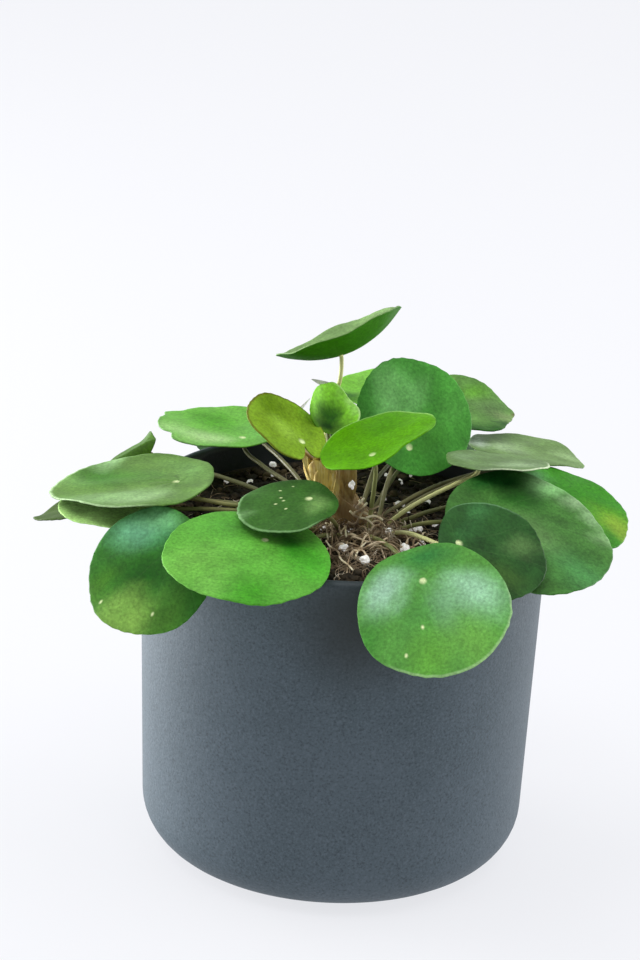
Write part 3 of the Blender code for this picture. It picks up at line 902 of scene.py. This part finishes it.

# each leaf's tone and its underside's; a patch is (along, across, reach, strength, tone) on a blade of
# radius 1 round its hub, with the tip along; patches are partly the leaf's own colour and partly painted
# light: painted sheen and highlights, and painted shadows where folds and neighbouring leaves shade it;
# a rim is (tone, strength, degrees from the tip, how far round it begins), a band along part of the edge
# that is partly the edge's own colour and partly a painted highlight on lit edges; dot is the strength of
# the pale dot on the hub, and specks are pale points (along, across)
leaves = {
    "top": dict(tone=(114, 146, 88), under=(54, 118, 6)),
    "young_olive": dict(tone=(122, 160, 34), rim=((92, 84, 14), 0.7, 0, -1.2), patches=(
        (0.74, -0.21, 0.45, 0.85, (86, 120, 0)), (0.31, 0.1, 0.34, 0.6, (160, 202, 74)),
        (0.49, 0.5, 0.36, 0.5, (110, 142, 20)), (-0.13, -0.53, 0.4, 0.6, (98, 136, 20)),
    )),
    # young_upright: the dark patches are painted shade inside its fold, the pale ones painted highlights
    # near its edge
    "young_upright": dict(tone=(134, 208, 50), rim=((190, 230, 150), 0.8, -60, 0.2), dot=0.0, patches=(
        (-0.6, 0.1, 0.85, 1.0, (12, 48, 0)), (-0.05, 0.1, 0.7, 0.9, (24, 76, 0)),
        (0.1, -0.1, 0.4, 0.7, (24, 78, 0)), (0.52, -0.74, 0.32, 0.9, (176, 230, 124)),
        (0.12, -0.92, 0.3, 0.8, (164, 222, 112)), (0.82, -0.3, 0.3, 0.6, (150, 214, 90)),
    )),
    "bright_centre": dict(tone=(87, 155, 0), rim=((150, 204, 104), 0.8, 10, 0.1), dot=0.6, patches=(
        (0.66, -0.03, 0.42, 0.6, (76, 150, 2)), (0.07, 0.62, 0.4, 0.5, (84, 150, 2)),
    )),
    # round_back: its pale patches are painted sheen
    "round_back": dict(tone=(68, 142, 50), mottle=1.4, patches=(
        (0.37, 0.44, 0.45, 0.8, (130, 198, 114)), (0.48, 0.66, 0.3, 0.5, (118, 182, 102)),
        (0.6, 0.08, 0.3, 0.5, (114, 174, 100)), (0.45, -0.66, 0.4, 0.6, (84, 158, 64)),
        (0.1, -0.3, 0.4, 0.5, (62, 130, 34)),
    )),
    # back_right_bright: its dark patch is a painted shadow under the neighbouring leaf
    "back_right_bright": dict(tone=(116, 184, 56), patches=(
        (0.9, 0.1, 0.3, 0.4, (134, 198, 84)), (0.0, 0.95, 0.36, 0.9, (36, 96, 12)),
    )),
    "back_right": dict(tone=(90, 134, 62), dot=0.0, mottle=1.6, patches=(
        (0.43, 0.55, 0.3, 0.7, (104, 172, 46)), (0.67, 0.16, 0.45, 0.8, (88, 118, 68)),
        (0.9, -0.2, 0.3, 0.6, (120, 136, 92)), (1.0, 0.03, 0.1, 0.9, (96, 74, 52)),
        (0.45, -0.85, 0.34, 0.95, (26, 82, 10)), (0.78, -0.62, 0.26, 0.95, (32, 86, 14)),
        (0.05, -0.95, 0.36, 0.95, (26, 82, 10)),
    )),
    # right_upper: the whitish patches are painted sheen, the darkest a painted shade at the end away from
    # its tip
    "right_upper": dict(tone=(104, 136, 76), dot=0.0, mottle=1.5, patches=(
        (-0.1, 0.05, 0.45, 0.6, (164, 190, 146)), (-0.72, 0.25, 0.42, 0.9, (204, 222, 200)),
        (0.9, 0.06, 0.3, 0.5, (150, 178, 128)), (0.2, 0.75, 0.3, 0.5, (104, 140, 76)),
        (-0.9, -0.5, 0.22, 0.9, (36, 64, 24)),
    )),
    # right_edge_on: its pale patches are painted sheen and its pale rim a painted highlight on its near
    # edge
    "right_edge_on": dict(
        tone=(102, 132, 78), rim=((222, 238, 200), 0.8, -95, 0.3), dot=0.0, mottle=1.5,
        patches=(
            (-0.2, 0.62, 0.4, 0.6, (140, 168, 124)), (0.35, -0.45, 0.42, 0.5, (172, 200, 154)),
        ),
    ),
    "right_rear": dict(tone=(54, 128, 24), dot=0.0, patches=(
        (0.69, 0.4, 0.4, 0.7, (116, 170, 46)), (0.85, 0.42, 0.3, 0.6, (148, 174, 58)),
        (-0.5, 0.03, 0.36, 0.6, (116, 172, 116)),
    )),
    # right_large: the pale patches along its far edge are painted sheen, the darkest ones painted shadow
    # under right_edge_on
    "right_large": dict(tone=(66, 116, 48), mottle=1.8, patches=(
        (0.18, 0.95, 0.22, 0.9, (156, 194, 140)), (0.42, 0.89, 0.2, 0.9, (150, 190, 134)),
        (-0.2, 0.9, 0.28, 0.95, (150, 212, 134)), (-0.3, 0.95, 0.22, 0.9, (134, 182, 118)),
        (0.72, 0.7, 0.2, 0.8, (130, 172, 112)), (0.9, -0.15, 0.42, 0.6, (70, 138, 74)),
        (-0.1, 0.5, 0.3, 0.7, (30, 88, 20)), (-0.44, 0.6, 0.4, 1.0, (0, 48, 0)),
        (-0.8, 0.5, 0.4, 0.8, (14, 84, 26)), (0.32, 0.01, 0.35, 0.6, (98, 130, 78)),
    )),
    "right_inner": dict(tone=(38, 80, 32), rim=((122, 172, 120), 0.5, 100, 0.55), mottle=2.0, patches=(
        (0.74, 0.2, 0.28, 0.55, (92, 124, 70)), (0.37, -0.51, 0.4, 0.6, (68, 102, 38)),
        (-0.06, 0.82, 0.3, 0.6, (66, 128, 68)), (0.0, 0.3, 0.3, 0.4, (58, 118, 60)),
    )),
    # front_right: its three palest patches are painted highlights
    "front_right": dict(
        tone=(84, 148, 60), rim=((190, 222, 168), 0.4, 20, 0.1), specks=((0.45, -0.22), (0.62, -0.55)),
        patches=(
            (-0.6, 0.15, 0.45, 0.8, (36, 114, 52)), (0.35, -0.2, 0.4, 0.5, (66, 130, 60)),
            (-0.29, -0.5, 0.42, 0.95, (160, 205, 174)), (0.1, 0.62, 0.44, 0.9, (157, 208, 168)),
            (0.3, 0.2, 0.3, 0.5, (140, 190, 152)), (0.16, -0.95, 0.34, 0.8, (62, 130, 46)),
            (0.73, -0.27, 0.36, 0.6, (98, 162, 50)), (0.75, 0.35, 0.45, 0.6, (112, 172, 70)),
        ),
    ),
    # front_left: its darkest patch is a painted shadow of front_small
    "front_left": dict(tone=(94, 168, 58), mottle=1.2, patches=(
        (0.6, -0.45, 0.5, 0.75, (110, 174, 68)), (0.92, 0.05, 0.35, 0.6, (114, 178, 74)),
        (0.74, 0.46, 0.42, 0.75, (50, 138, 10)), (-0.26, 0.65, 0.5, 0.8, (62, 158, 32)),
        (-0.35, 0.24, 0.32, 0.85, (0, 108, 0)), (-0.3, -0.4, 0.5, 0.5, (78, 160, 50)),
    )),
    "front_small": dict(
        tone=(52, 97, 32), rim=((150, 196, 134), 0.45, 25, -0.1), mottle=1.3,
        specks=((0.33, -0.17), (0.38, 0.15), (0.11, -0.59), (0.46, -0.12), (0.3, -0.3), (-0.2, -0.62)),
        patches=(
            (-0.28, 0.25, 0.42, 0.7, (124, 166, 90)), (1.0, -0.05, 0.22, 0.5, (128, 172, 112)),
        ),
    ),
    # left_large: its two grey-teal patches are painted sheen
    "left_large": dict(tone=(50, 110, 34), mottle=1.7, specks=((0.87, -0.25), (0.56, 0.54)), patches=(
        (-0.14, -0.58, 0.45, 0.9, (112, 180, 138)), (-0.51, -0.5, 0.44, 0.8, (112, 178, 118)),
        (-0.1, -0.1, 0.35, 0.5, (44, 112, 62)), (0.42, -0.04, 0.42, 0.85, (26, 84, 14)),
        (0.92, 0.06, 0.38, 0.8, (136, 180, 82)), (0.8, 0.42, 0.42, 0.8, (136, 180, 80)),
        (0.77, -0.5, 0.34, 0.8, (64, 112, 30)), (0.4, 0.75, 0.42, 0.75, (82, 132, 46)),
    )),
    # left_top: its pale patches are a painted reflection of the bright backdrop
    "left_top": dict(
        tone=(90, 128, 56), rim=((176, 206, 156), 0.6, 45, -0.1), dot=0.7, mottle=1.3,
        patches=(
            (0.6, -0.33, 0.45, 0.95, (62, 118, 34)), (0.25, -0.2, 0.3, 0.5, (80, 130, 50)),
            (0.62, -0.76, 0.26, 0.7, (150, 190, 132)), (0.3, 0.82, 0.4, 0.6, (130, 170, 108)),
            (0.0, 0.62, 0.42, 0.6, (154, 190, 132)), (0.35, 0.55, 0.35, 0.5, (144, 184, 122)),
            (-0.39, -0.35, 0.45, 0.6, (116, 164, 86)), (0.9, -0.09, 0.26, 0.5, (112, 156, 84)),
        ),
    ),
    "left_under": dict(tone=(168, 214, 124), under=(168, 214, 124), mottle=1.6, specks=((0.5, 0.14),)),
    "left_tip": dict(tone=(60, 98, 20), under=(60, 98, 20), dot=0.0),
    "left_low": dict(tone=(66, 90, 36), dot=0.0, patches=((0.9, 0.0, 0.3, 0.5, (58, 84, 32)),)),
    "back_left": dict(tone=(104, 172, 62), rim=((96, 140, 76), 0.6, 80, 0.0), patches=(
        (0.55, -0.18, 0.42, 0.85, (68, 144, 14)), (-0.05, 0.56, 0.5, 0.85, (164, 202, 132)),
        (0.4, 0.75, 0.4, 0.7, (156, 200, 124)), (-0.2, -0.3, 0.5, 0.5, (124, 196, 92)),
    )),
    "rear_left": dict(tone=(76, 142, 54), patches=((0.5, 0.3, 0.4, 0.5, (112, 176, 84)),)),
    "rear_middle": dict(tone=(58, 120, 46), patches=((0.4, -0.4, 0.4, 0.5, (92, 158, 80)),)),
    "rear_right": dict(tone=(68, 134, 48), patches=((0.7, 0.0, 0.4, 0.5, (110, 172, 76)),)),
    "rear_far_right": dict(tone=(56, 116, 44), patches=((0.5, 0.4, 0.4, 0.5, (96, 160, 86)),)),
}

notches = {  # bearing from the tip, depth as a share (less than 0 swells out), width in degrees
    "right_inner": ((-150, 0.1, 9),),
    "young_olive": ((159, 0.8, 9),),
    "back_left": ((98, -0.1, 10), (78, 0.05, 7), (8, -0.1, 9)),
    "bright_centre": ((-128, 0.34, 36),),
    "young_upright": ((-46, 0.2, 32), (30, 0.07, 18), (168, -0.3, 36), (130, -0.16, 24)),
    "left_large": ((-146, -0.07, 22),),
    "right_large": ((149, -0.1, 24),),
    "right_upper": ((-160, -0.16, 24),),
    "back_right": ((-30, 0.06, 18), (4, -0.04, 8)),
}

bends = {  # bearing from the tip, rise of the edge in mm (less than 0 droops), width in degrees
    "left_tip": ((128, -8.0, 52), (-120, 3.4, 20), (-25, -1.6, 34)),
    "left_top": ((-12, 1.8, 20),),
    "right_upper": ((26, 3.0, 32), (95, -1.4, 34)),
    "right_edge_on": ((-90, 1.2, 40),),
    "right_large": ((112, 2.5, 40), (150, 2.0, 24), (130, 1.0, 16)),
    "bright_centre": ((-130, 3.0, 40),),
    "back_right_bright": ((12, 3.2, 45),),
}


def bladeFinish(name, width):
    look = leaves[name]
    finish = Finish("blade_" + name, 0.14)
    place = finish.objectPlace()
    flat = finish.node("ShaderNodeUVMap", {"uv_map": "bladeMap"})
    along = finish.axis(flat, "X") * 2.0 - 1.0
    across = finish.axis(flat, "Y") * 2.0 - 1.0
    share = finish.maths("SQRT", along * along + across * across)
    angle = finish.maths("ARCTAN2", across, along)
    wobble = finish.grain(flat, 5, 3.0, 0.6)
    mottle = finish.grain(place, 95, 4.0, 0.6)
    fine = finish.grain(place, 800, 2.0, 0.6)
    spokes = finish.maths("ABSOLUTE", finish.maths("SINE", (angle + wobble * 0.3) * 3.5))
    veins = 1.0 - finish.rise(spokes * share, 0.0, 0.07)
    tone = colour(*look["tone"])
    # patches: the leaf's own pale and dark tones, and painted sheen, highlights and shadows
    for towards, aside, reach, strength, toneAndPaintedLight in look.get("patches", ()):
        centre = (0.5 + towards / 2, 0.5 + aside / 2, 0)
        spread = finish.away(flat, centre) * 2.0 + (wobble - 0.5) * 0.35
        tone = finish.mix(finish.rise(spread, reach * 1.3, 0.0) * strength, tone, colour(*toneAndPaintedLight))
    tone = finish.mix(veins * 0.03, tone, blade["vein"])
    tone = finish.shade(tone, 1.0 + (mottle - 0.5) * 0.8 * look.get("mottle", 1.0))
    for towards, aside in look.get("specks", ()):
        spread = finish.away(flat, (0.5 + towards / 2, 0.5 + aside / 2, 0)) * 2.0
        tone = finish.mix(finish.rise(spread, blade["speck"], 0.0), tone, blade["hubTone"])
    hubShare = 2 * blade["hub"] / width
    dot = finish.rise(share, hubShare * 1.5, hubShare * 0.4) * look.get("dot", 0.9)
    tone = finish.mix(dot, tone, blade["hubTone"])
    # rim: a band along part of the edge, partly the edge's own colour and partly a painted highlight on
    # lit edges
    if "rim" in look:
        rimToneAndPaintedHighlight, strength, towards, begins = look["rim"]
        turn = math.radians(towards)
        facing = along * math.cos(turn) + across * math.sin(turn)
        edge = finish.rise(share, 1 - 4 * blade["rim"] / width, 1 - blade["rim"] / width)
        edge = edge * finish.rise(facing, begins, begins + 0.5)
        tone = finish.mix(edge * strength, tone, colour(*rimToneAndPaintedHighlight))
    shell = finish.node("ShaderNodeAttribute", {"attribute_name": "underside"}, output="Fac")
    under = colour(*look.get("under", [part * 0.8 for part in look["tone"]]))
    tone = finish.mix(finish.rise(shell, 0.6, 1.0), tone, under)
    tone = finish.shade(tone, 1.0 + (fine - 0.5) * 1.1)
    height = mottle * 0.7 - veins * 0.15 + fine * 0.3
    return finish.done(tone, 0.5 + mottle * 0.14, height, 0.22 * mm, 0.7)


def bladeDisc():  # a flat blade of radius 1 round its hub, tip along +X
    shares = blade["shares"]
    disc = added(bpy.ops.mesh.primitive_circle_add, vertices=blade["sectors"], radius=1.0)
    editMode(disc)
    bpy.ops.mesh.select_all(action="SELECT")
    for before, share in zip(shares, shares[1:]):
        bpy.ops.mesh.extrude_region_move()
        bpy.ops.transform.resize(value=(share / before,) * 3)
    bpy.ops.mesh.extrude_region_move()
    bpy.ops.mesh.merge(type="CENTER")
    objectMode()
    if disc.data.polygons[0].normal.z < 0:
        disc.data.flip_normals()
    layer = disc.data.uv_layers.new(name="bladeMap")
    for loop in disc.data.loops:
        co = disc.data.vertices[loop.vertex_index].co
        layer.data[loop.index].uv = (0.5 + co.x / 2, 0.5 + co.y / 2)
    return disc


def upperHub(shape):  # a blade's two hubs have an edge along each spoke
    hubs = [vert for vert in shape.verts if len(vert.link_edges) == blade["cadSpokes"]]
    return [max(hubs, key=lambda vert: vert.normal.z)]


def bladeForm(node):  # hub, face and, for each fine spoke, the curve from hub to edge
    rings = nodeRings(node, upperHub)
    hub = np.array(rings[0][0])
    edge = np.array(rings[3])
    middle = edge.mean(axis=0)
    face = np.linalg.svd(edge - middle)[2][2]
    face = face if face[2] > 0 else -face
    tip = middle - hub
    tip = tip - face * tip.dot(face)
    tip /= np.linalg.norm(tip)
    side = np.cross(face, tip)
    halfStep = math.pi / blade["cadSpokes"]
    ordered = []
    for ring in rings[1:4]:
        places = np.array(ring) - hub
        bearing = np.arctan2(places @ side, places @ tip)
        ordered.append(places[np.argsort((bearing + halfStep) % math.tau)])
    powers = np.array([[share, share ** 2, share ** 3] for share in blade["cadShares"]])
    curves = np.einsum("ij,jkl->ikl", np.linalg.inv(powers), np.array(ordered))
    waves = np.fft.rfft(curves, axis=1)
    fine = np.fft.irfft(waves, n=blade["sectors"], axis=1) * blade["sectors"] / blade["cadSpokes"]
    width = 2 * np.linalg.norm(edge - middle, axis=1).mean()
    return Vector(hub), Vector(face), fine, width


def nearness(angle, bearing, span):  # 1 at a bearing in degrees, less beside it
    off = (math.degrees(angle) - bearing + 180) % 360 - 180
    return math.exp(-(off / span) ** 2)


def buildBlade(name, number, disc):
    node = "leaf_" + name
    hub, face, curves, width = bladeForm(node)
    item = disc.copy()
    item.data = disc.data.copy()
    bpy.context.scene.collection.objects.link(item)
    sectors = blade["sectors"]
    for vert in item.data.vertices:
        share = vert.co.xy.length
        angle = math.atan2(vert.co.y, vert.co.x)
        spoke = round(angle / math.tau * sectors) % sectors
        uneven = noise.noise(Vector((math.cos(angle) * 2, math.sin(angle) * 2, number * 3.7)))
        scallop = math.cos(blade["scallops"] * angle + 2 * uneven) * (0.6 + uneven)
        reach = share * (1 + blade["scallopDepth"] * scallop * share ** 7)
        for bearing, depth, span in notches.get(name, ()):
            bite = depth * nearness(angle, bearing, span)
            reach *= 1 - bite * share ** max(0.0, min(4.0, 0.8 / max(abs(bite), 0.01) - 1))
        first, second, third = (Vector(curves[power, spoke]) for power in range(3))
        within = min(reach, 1.0)
        place = hub + (first * within + second * within ** 2 + third * within ** 3) * max(reach, 1.0)
        for bearing, rise, span in bends.get(name, ()):
            place.z += rise * mm * share ** 2 * nearness(angle, bearing, span)
        ripple = noise.noise(place / (11 * mm)) * 0.7 + noise.noise(place / (5 * mm)) * 0.3
        lift = blade["ripple"] * ripple * min(1.0, share * 2.5)
        lift -= blade["dip"] * math.exp(-(share * width / 2 / blade["hub"]) ** 2)
        lift -= blade["rolled"] * max(0.0, (share - 0.95) / 0.05) ** 2
        vert.co = place + face * lift
    shellStart = len(item.data.vertices)
    applied(item, "SOLIDIFY", thickness=blade["thick"], offset=-1.0, use_even_offset=True)
    shell = item.data.attributes.new("underside", "FLOAT", "POINT")
    values = [0.0 if index < shellStart else 1.0 for index in range(len(item.data.vertices))]
    shell.data.foreach_set("value", values)
    addPiece(item, "blade_" + name, bladeFinish(name, width), slotOf[node], node)


def buildBlades():
    disc = bladeDisc()
    for number, name in enumerate(leaves):
        buildBlade(name, number, disc)
    bpy.data.objects.remove(disc)


buildBlades()
print("blades done")


# stalks, along the middle of their CAD nodes

stalk = {
    "sides": 2,
    "steps": 8,
    "thick": 0.88 * mm,
    "grow": 0.6 * mm,  # how far the tip goes on into its blade
    "foot": 1.15,
    "neck": 0.95,
    "flare": 1.3,
    "pale": colour(176, 172, 112),
    "green": colour(126, 134, 78),
    "brown": colour(108, 90, 56),
    "paintedShade": colour(72, 70, 44),  # painted shade on the stalks farther back among the leaves
    "lit": ("top", "right_edge_on", "right_inner"),  # these are painted paler and brighter, as if in the light
    "litPale": colour(238, 236, 178),
    "litGreen": colour(222, 224, 152),
    "dry": colour(190, 152, 84),
}


def stalkFinish(name, pale, green, shade):
    finish = Finish(name, 0.3)
    place = finish.objectPlace()
    streaks = finish.grain(place, 420, 3.0)
    patches = finish.grain(place, 40, 2.0)
    height = finish.rise(finish.axis(place, "Z"), soil["top"] - 9 * mm, soil["top"] + 6 * mm)
    tone = finish.mix(finish.rise(patches, 0.4, 0.6), pale, green)
    tone = finish.mix(1.0 - height * 0.9, tone, stalk["brown"])
    tone = finish.mix(finish.rise(streaks, 0.55, 0.75) * 0.25, tone, stalk["brown"])
    # painted shade: the stalks darken towards the back, where the leaves shade them
    back = finish.rise(finish.axis(place, "Y"), -24 * mm, 4 * mm)
    tone = finish.mix(back * shade, tone, stalk["paintedShade"])
    return finish.done(tone, 0.42 + streaks * 0.15, streaks, 0.12 * mm)


def lowestRing(shape):
    low = min(vert.co.z for vert in shape.verts)
    return [vert for vert in shape.verts if vert.co.z < low + 0.01 * mm]


def buildStalk(name, finish):
    node = "stalk_" + name
    middles = [sum(ring, Vector()) / len(ring) for ring in nodeRings(node, lowestRing)]
    last = middles[-1] - middles[-2]
    if name == "top":
        del middles[-2]  # straight up to its blade
    middles.append(middles[-1] + last.normalized() * stalk["grow"])
    path = []
    for number, place in enumerate(middles):
        share = number / (len(middles) - 1)
        size = stalk["foot"] + (stalk["neck"] - stalk["foot"]) * share
        path.append((place, stalk["flare"] if number > len(middles) - 2 else size))
    item = tubes(node, [path], stalk["thick"], stalk["sides"], stalk["steps"])
    addPiece(item, "petiole_" + name, finish, slotOf[node], node)


# one copy with painted shade and one painted lighter, as if in the light; the dry stalk has its own colour
shadedStalks = stalkFinish("stalks", stalk["pale"], stalk["green"], 0.7)
litStalks = stalkFinish("paintedLitStalks", stalk["litPale"], stalk["litGreen"], 0.0)
dryStalk = stalkFinish("dryStalk", stalk["dry"], stalk["brown"], 0.0)
for leafName in leaves:
    material = litStalks if leafName in stalk["lit"] else shadedStalks
    buildStalk(leafName, dryStalk if leafName == "young_olive" else material)
print("stalks done")


# floor and light

studio = {
    "floorSize": 12,
    "floorTone": colour(112, 112, 114),
    "floorGlow": 0.76,  # a lit table
    "air": colour(250, 251, 255),
    "airTurn": (-0.6, 0.6),  # between these the air's light changes
    "airLight": (0.5, 0.95),  # from the camera's side, and from behind
    "lamps": (  # place, aim, width, height, power
        ((-0.75, -0.6, 2.3), (0, 0, 0.12), 1.1, 1.1, 17),
        ((0.75, -0.6, 2.3), (0, 0, 0.12), 1.1, 1.1, 12),
        ((-1.1, 0.5, 0.16), (0, 0, 0.1), 0.9, 0.28, 26),
        ((1.1, 0.5, 0.16), (0, 0, 0.1), 0.9, 0.28, 9),
    ),
}


def buildStudio():
    floor = added(bpy.ops.mesh.primitive_plane_add, size=studio["floorSize"])
    floor.name = "paleFloor"
    finish = Finish("paleFloor", 0.1)
    finish.set("Roughness", 0.9)
    finish.set("Base Color", studio["floorTone"])
    finish.set("Emission Color", studio["air"])
    finish.set("Emission Strength", studio["floorGlow"])
    floor.data.materials.append(finish.material)
    for number, (place, aim, width, height, power) in enumerate(studio["lamps"]):
        turn = (Vector(aim) - Vector(place)).to_track_quat("-Z", "Y").to_euler()
        lamp = added(bpy.ops.object.light_add, type="AREA", location=place, rotation=turn)
        lamp.name = "softLamp%d" % number
        lamp.data.shape = "RECTANGLE"
        lamp.data.size = width
        lamp.data.size_y = height
        lamp.data.energy = power
    world = bpy.data.worlds.new("studioAir")
    world.use_nodes = True
    nodes, links = world.node_tree.nodes, world.node_tree.links
    sky = nodes["Background"]
    sky.inputs["Color"].default_value = studio["air"]
    towards = nodes.new("ShaderNodeTexCoord")
    split = nodes.new("ShaderNodeSeparateXYZ")
    turned = nodes.new("ShaderNodeMapRange")
    links.new(towards.outputs["Generated"], split.inputs[0])
    links.new(split.outputs["Y"], turned.inputs["Value"])
    values = (*studio["airTurn"], *studio["airLight"])
    for key, value in zip(("From Min", "From Max", "To Min", "To Max"), values):
        turned.inputs[key].default_value = value
    links.new(turned.outputs["Result"], sky.inputs["Strength"])
    bpy.context.scene.world = world
    bpy.context.scene.view_settings.view_transform = "Standard"


buildStudio()
print("studio done")
